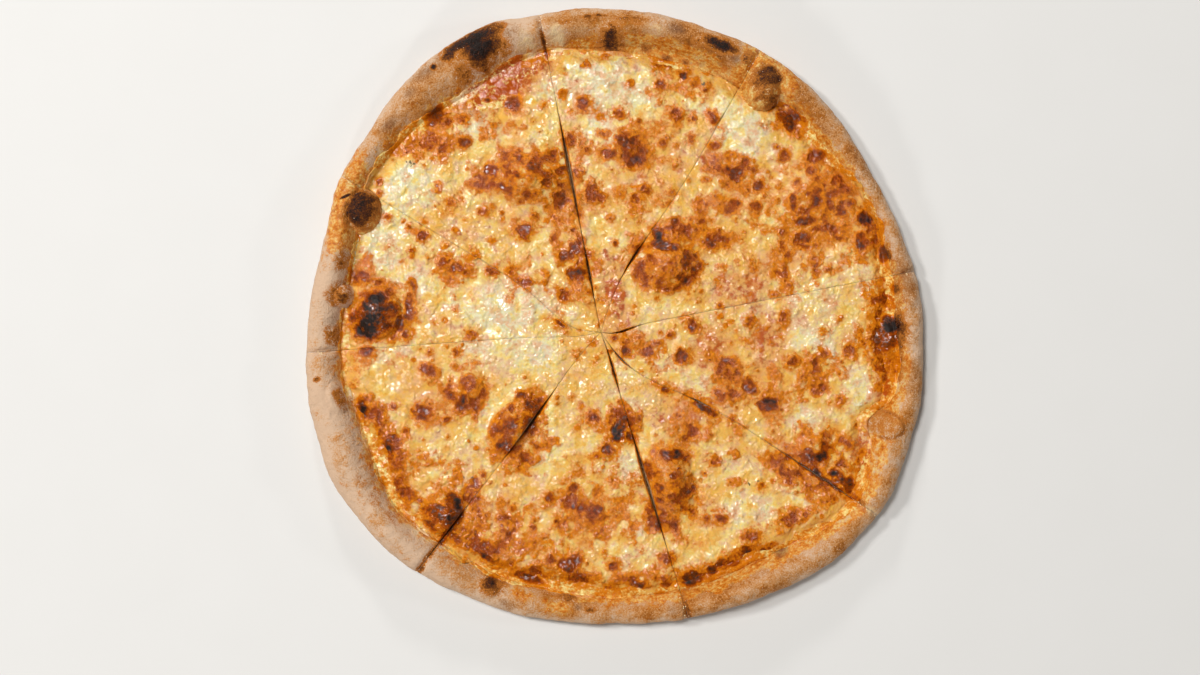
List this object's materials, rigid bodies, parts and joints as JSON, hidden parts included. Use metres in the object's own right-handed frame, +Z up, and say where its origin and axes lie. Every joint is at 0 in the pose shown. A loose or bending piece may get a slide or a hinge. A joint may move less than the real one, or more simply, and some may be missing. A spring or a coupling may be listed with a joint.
{
  "type": "margherita pizza",
  "caption": "Round thin-based pizza with a puffed rim, tomato sauce and melted mozzarella, cut in slices that still lie together as the whole.",
  "frame": {"origin": "middle of the pizza's bounding box, on the flat underside of its base", "axes": "+Z up out of the toppings; seen from above with +Y away, +X is to the right"},
  "size_m": [0.3191, 0.3176, 0.0218],
  "materials": {
    "crust": "matte floury baked dough, dusty pale beige with brown and black blisters",
    "sauce": "wet cooked tomato, semi-gloss",
    "cheese": "melted mozzarella, oily gloss, cream white to golden with brown blisters"
  },
  "bodies": {
    "root": {"crust_1": "crust", "crust_2": "crust", "crust_3": "crust", "crust_4": "crust", "crust_5": "crust", "crust_6": "crust", "crust_7": "crust", "crust_8": "crust", "sauce_1": "sauce", "sauce_2": "sauce", "sauce_3": "sauce", "sauce_4": "sauce", "sauce_5": "sauce", "sauce_6": "sauce", "sauce_7": "sauce", "sauce_8": "sauce", "cheese_1": "cheese", "cheese_2": "cheese", "cheese_3": "cheese", "cheese_4": "cheese", "cheese_5": "cheese", "cheese_6": "cheese", "cheese_7": "cheese", "cheese_8": "cheese"}
  },
  "joints": []
}
